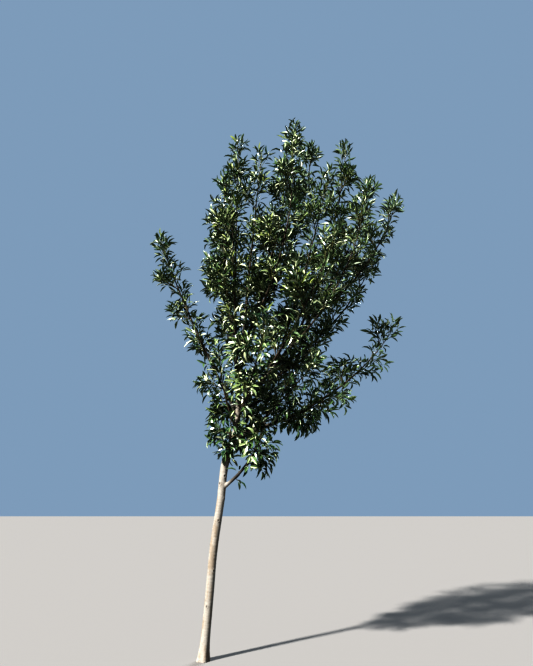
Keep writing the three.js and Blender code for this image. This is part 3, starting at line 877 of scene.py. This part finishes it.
# Shoots with small leaves grow where the source has a leaf, and spurs with rosettes along the stems and
# twigs. Low in the crown is from lowFoot to lowTop.
finer = {
    "seed": 977,
    "lowTop": 2.25, "lowFoot": 1.3,
    "axis": (0.19, 0.19, 1.5),  # where the crown's middle is, its lean, and the height that this is at
    # Stems and twigs
    "stemSteps": 22, "stemTipRadius": 0.0024, "stemOverlap": 0.004, "stemSlimming": 1.3,
    "stemShare": 0.97,  # of the limb's radius, so that the bark hides the stem's foot
    "stemSpurs": (0.45, 0.97),  # where spurs begin, as a share of the bare part, and end
    "twigRadii": (0.0042, 0.0026), "twigArch": 0.004, "twigSpurs": (0.3, 0.9),
    # Shoots and spurs
    "shootShare": 0.62,  # of the source's leaf length
    "shootSteps": 4, "shootRadii": (0.0022, 0.0011), "shootSway": 0.22,
    "shootLift": (0.16, 0.3, 0.2),  # high in the crown, what is lost low in it, and scatter
    "sideShoots": ((0.15, 0.8), (0.42, 0.7), (0.66, 0.55), (0.86, 0.4)),  # place and length, as shares
    "sideOpening": 0.95, "sideTurn": 0.8,
    "tipReach": 0.32,  # this near to a limb's tip the side shoots grow fewer
    "spurSpacing": 0.045, "spurLength": 0.03, "spurSpan": (0.6, 0.8), "spurOpening": 1.15,
    "spurRadii": (0.0026, 0.0018),
    # Leaves
    "onShoot": {"spacing": 0.018, "tipLeaves": 3, "bare": 0.22},
    "onSpur": {"spacing": 0.01, "tipLeaves": 2, "bare": 0.5},
    "leafLength": 0.088, "leafVariation": 0.22, "tipShortness": 0.12, "lowBreadth": 0.4,
    "leafOpening": 1.1, "openingScatter": 0.5, "tipOpening": (0.25, 0.2), "turnScatter": 0.4,
    "leafClosing": 0.35,  # towards a shoot's end
    "droop": 0.45, "highDroop": 0.3,
    # Upper sides turn forward along the shoot, up, and away from the crown's middle
    "forward": 0.3, "skyward": 0.75, "outward": 0.9, "leastAway": 0.1, "scatter": 1.5,
    # Tints: sprays whose draw is under these are middle and light, and low ones are darker as painted shade
    "tintLimits": (0.6, 0.25), "lowPaintedShade": 0.35, "darkSpurs": 0.7,
    "youngTips": (0.4, 0.6),  # high in the crown, and what is lost low in it
    "tipTintFrom": 0.8, "tipTintShare": 0.5,
    "paintedGlintShare": 0.66, "lowGlintLoss": 0.7,  # share of leaves with a painted glint, fewer low in the crown's shade
}


# What grows in one group of masses: leaves by their form, and tubes of wood
class Harvest:
    def __init__(self):
        self.leaves = [[] for _ in range(leafShape["forms"])]
        self.tubes = {}  # by the number of points along them

    def addTube(self, points, radii, slot):
        self.tubes.setdefault(len(points), []).append((np.array(points), np.array(radii), slot))


# 1 at the crown's foot and 0 from its middle up
def lowness(z):
    return min(max((finer["lowTop"] - z) / (finer["lowTop"] - finer["lowFoot"]), 0), 1)


# Which way a leaf's upper side turns. The crown's middle leans like the trunk.
def facingAt(random, place, heading):
    middle, lean, height = finer["axis"]
    away = place - (middle + lean * (place[2] - height), 0, place[2])
    facing = heading * finer["forward"]
    facing = facing + away * finer["outward"] / max(finer["leastAway"], math.hypot(away[0], away[1]))
    facing = facing + (0, 0, finer["skyward"])
    return facing + np.array((random() - 0.5, random() - 0.5, random() - 0.5)) * finer["scatter"]


# The tints are those of a shoot's leaves and of those at its tip
def growLeaves(harvest, random, points, tints, manner):
    bare, tipLeaves = manner["bare"], manner["tipLeaves"]
    lengths = [math.dist(a, b) for a, b in zip(points, points[1:])]
    total = sum(lengths)
    count = max(1, int(total * (1 - bare) / manner["spacing"]))
    turn = random() * math.tau
    for k in range(count + tipLeaves):
        atTip = max(0, k - count)
        share = between(bare, 1, min(1, k / count))
        along = share * total
        step = 0
        while step < len(lengths) - 1 and along > lengths[step]:
            along -= lengths[step]
            step += 1
        heading = unit(points[step + 1] - points[step])
        place = points[step] + heading * along
        turn += goldenAngle + (random() - 0.5) * finer["turnScatter"]
        if atTip:
            opening = ranged(finer["tipOpening"], tipLeaves - atTip)
        else:
            opening = finer["leafOpening"] * (1 - finer["leafClosing"] * share)
            opening += (random() - 0.5) * finer["openingScatter"]
        across, beyond = crossing(heading)
        outward = across * math.cos(turn) + beyond * math.sin(turn)
        way = heading * math.cos(opening) + outward * math.sin(opening)
        low = lowness(place[2])
        way[2] -= finer["droop"] * (finer["highDroop"] + low) * random()
        way = unit(way)
        facing = facingAt(random, place, heading)
        up = unit(facing - way * (facing * way).sum())
        length = finer["leafLength"] * (1 + finer["leafVariation"] * (random() * 2 - 1))
        length *= 1 - finer["tipShortness"] * bool(atTip)
        sameForm = harvest.leaves[int(random() * leafShape["forms"])]
        tipped = atTip or (share > finer["tipTintFrom"] and random() < finer["tipTintShare"])
        halves = [tints[bool(tipped)]] * 2
        # One half of some leaves gets the painted glint colour
        glint = random() / (finer["paintedGlintShare"] * (1 - finer["lowGlintLoss"] * low))
        if glint < 1:
            halves[int(glint * 2)] = leafSlots["painted_glint"]
        sameForm.append((place, way, up, length, halves, 1 + finer["lowBreadth"] * low))


# A shoot with its leaves, swaying and lifting or sagging a little. Gives its points.
def growShoot(harvest, random, root, heading, length, tints):
    high, lost, scatter = finer["shootLift"]
    lift = high - lost * lowness(root[2]) + (random() - 0.5) * scatter
    points = [root]
    for _ in range(finer["shootSteps"]):
        points.append(points[-1] + heading * length / finer["shootSteps"])
        sway = np.array((random() - 0.5, random() - 0.5, lift)) * (finer["shootSway"], finer["shootSway"], 1)
        heading = unit(heading + sway)
    harvest.addTube(points, np.linspace(*finer["shootRadii"], len(points)), woodSlots["shoot"])
    growLeaves(harvest, random, points, tints, finer["onShoot"])
    return points


# Where the source has one large leaf: a shoot, and shorter ones that open from it
def growSpray(harvest, random, spray, limb):
    root, way, size = spray
    inward = min(1, math.dist(root, limb["tip"]) / finer["tipReach"])
    sideCount = round(len(finer["sideShoots"]) * inward * limb["full"])
    length = finer["shootShare"] * rule["sprayLength"] * size
    low = lowness(root[2])
    # Low in the crown the draw moves towards the deep tint, a painted shade under the crown
    draw = random() + finer["lowPaintedShade"] * low
    tint = sum(draw < limit for limit in finer["tintLimits"])
    young, lost = finer["youngTips"]
    tipTint = leafSlots["young"] if random() < young - lost * low else min(tint + 1, leafSlots["light"])
    points = growShoot(harvest, random, root, way, length, (tint, tipTint))
    turn = random() * math.tau
    for along, share in finer["sideShoots"][:sideCount]:
        turn += goldenAngle + random() * finer["sideTurn"]
        place = along * finer["shootSteps"]
        step = int(place)
        foot = between(points[step], points[step + 1], place - step)
        heading = openedFrom(way, finer["sideOpening"], turn, foot[2])
        growShoot(harvest, random, foot, heading, length * share, (tint, tipTint))


def growSpurs(harvest, random, line, span, length):
    first, last = span
    count = int(length * (last - first) / finer["spurSpacing"])
    turn = random() * math.tau
    for k in range(count):
        share = first + (last - first) * (k + random()) / count
        turn += goldenAngle
        root = line.at(share)
        way = openedFrom(headingAt(line, share), finer["spurOpening"], turn, root[2])
        points = [root, root + way * finer["spurLength"] * ranged(finer["spurSpan"], random())]
        harvest.addTube(points, finer["spurRadii"], woodSlots["twig"])
        tint = int(random() >= finer["darkSpurs"])
        growLeaves(harvest, random, points, (tint, tint + 1), finer["onSpur"])


def growFoliage():
    harvests = {}
    for index, (name, limb) in enumerate(limbs.items()):
        harvest = harvests.setdefault(limb["group"], Harvest())
        random = seededNumbers(finer["seed"] + rule["seedStep"] * index)
        twigs, sprays = masses[name]
        line, bare = limb["line"], limb["bare"]
        shares = np.linspace(bare - finer["stemOverlap"] / limb["length"], 1, finer["stemSteps"])
        radii = np.array([limbRadius(limb, s) for s in shares])
        slim = np.linspace(0, 1, len(shares)) ** finer["stemSlimming"]
        radii = radii * finer["stemShare"] * (1 - slim) + finer["stemTipRadius"] * slim
        harvest.addTube([line.at(s) for s in shares], radii, woodSlots["stem"])
        first, last = finer["stemSpurs"]
        growSpurs(harvest, random, line, (bare * first, last), limb["length"])
        for root, end in twigs:
            points = (root, (root + end) / 2 + (0, 0, finer["twigArch"]), end)
            harvest.addTube(points, np.linspace(*finer["twigRadii"], len(points)), woodSlots["twig"])
            growSpurs(harvest, random, LimbLine(*points), finer["twigSpurs"], rule["twigLength"])
        for spray in sprays:
            growSpray(harvest, random, spray, limb)
    return harvests


# All leaves of a group as one mesh, each form's copies placed in one go
def leafMesh(name, leaves, forms):
    pile = Pile()
    for rows, (formPoints, triangles, kinds) in zip(leaves, forms):
        if not rows:
            continue
        place, way, up, length, halves, breadth = (np.array(column) for column in zip(*rows))
        side = np.cross(way, up) * breadth[:, None]
        x, y, z = formPoints.T[..., None]
        points = (x * side[:, None] + y * way[:, None] + z * up[:, None]) * length[:, None, None]
        points = (points + place[:, None]).reshape(-1, 3)
        starts = np.arange(len(rows)) * len(formPoints)
        slots = np.where(kinds == 3, leafSlots["stalk"], halves[:, np.minimum(kinds, 1)])
        slots = np.where(kinds == 2, leafSlots["underside"], slots).ravel()
        pile.add(points, (triangles + starts[:, None, None]).reshape(-1, 3), slots)
    return pile.mesh(name, leafShape["sharpAngle"])


woodShape = {
    "sides": {22: 8, 5: 4, 3: 5, 2: 4},  # by the number of points along a tube
    "sharpAngle": 60,
}


# All tubes of a group as one mesh, closed at both ends
def woodMesh(name, tubes):
    pile = Pile()
    for rings, rows in tubes.items():
        sides = woodShape["sides"][rings]
        turns = (np.arange(sides) * math.tau / sides)[:, None]
        pattern = []
        for ring in range(rings - 1):
            for k in range(sides):
                a, b = ring * sides + k, ring * sides + (k + 1) % sides
                pattern += [(a, b, b + sides), (a, b + sides, a + sides)]
        foot, last = rings * sides, (rings - 1) * sides
        for k in range(sides):
            after = (k + 1) % sides
            pattern += [(foot, after, k), (foot + 1, last + k, last + after)]
        pattern = np.array(pattern)
        for points, radii, slot in rows:
            headings = np.gradient(points, axis=0)
            corners = []
            for point, heading, radius in zip(points, headings, radii):
                across, beyond = crossing(unit(heading))
                corners.append(point + radius * (np.cos(turns) * across + np.sin(turns) * beyond))
            corners.append((points[0], points[-1] + unit(headings[-1]) * radii[-1]))
            pile.add(np.concatenate(corners), pattern, np.full(len(pattern), slot))
    return pile.mesh(name, woodShape["sharpAngle"])


forms = leafForms()
for group, harvest in growFoliage().items():
    members = ["foliage_" + name for name, limb in limbs.items() if limb["group"] == group]
    leaves = leafMesh("leaves_" + group, harvest.leaves, forms)
    wood = woodMesh("shoots_" + group, harvest.tubes)
    addPiece(leaves, leafMaterials, members)
    addPiece(wood, woodMaterials, members)
    print(group, "made,", sum(map(len, harvest.leaves)), "leaves,", len(wood.polygons), "faces of wood")


# A pale floor, a key from the upper left and a weak light from behind. The camera sees the backdrop, and
# the surround lights the tree.
stageLook = {
    "floorSize": 60, "floorColour": seen(112, 111, 110),
    "surround": ((0.66, 0.84, 1.0, 1), 0.265),  # colour and strength
    "backdrop": ((0.23, 0.3, 0.38, 1), 1),
    "gamma": 0.84, "contrast": "Very High Contrast",
    # Strength, degrees across, turn from straight above in degrees to the left and to the front, colour
    "lights": {
        "key": (10.2, 3, (43, 33), (1.0, 0.96, 0.91)),
        "from_behind": (3.0, 25, (-28, -42), (0.9, 0.95, 1.0)),
    },
}


def makeStage():
    floorShape = bmesh.new()
    bmesh.ops.create_grid(floorShape, x_segments=2, y_segments=2, size=stageLook["floorSize"])
    floor = placed("floor", meshOf(floorShape, "floor"))
    floor.data.materials.append(makePlain("floor", stageLook["floorColour"], 1, 0))
    world = bpy.data.worlds.new("surround")
    bpy.context.scene.world = world
    world.use_nodes = True
    nodes, links = world.node_tree.nodes, world.node_tree.links
    chosen = nodes.new("ShaderNodeMixShader")
    links.new(nodes.new("ShaderNodeLightPath").outputs["Is Camera Ray"], chosen.inputs[0])
    links.new(chosen.outputs[0], nodes["World Output"].inputs["Surface"])
    airs = {"surround": nodes["Background"], "backdrop": nodes.new("ShaderNodeBackground")}
    for socket, (name, air) in zip(chosen.inputs[1:], airs.items()):
        air.inputs["Color"].default_value, air.inputs["Strength"].default_value = stageLook[name]
        links.new(air.outputs[0], socket)
    for name, (strength, across, (left, near), colour) in stageLook["lights"].items():
        data = bpy.data.lights.new(name, "SUN")
        data.energy, data.angle, data.color = strength, math.radians(across), colour
        placed(name, data).rotation_euler = (math.radians(near), -math.radians(left), 0)


makeStage()
display = bpy.context.scene.view_settings
display.view_transform = "Standard"
display.gamma = stageLook["gamma"]
display.look = stageLook["contrast"]
print("stage set")
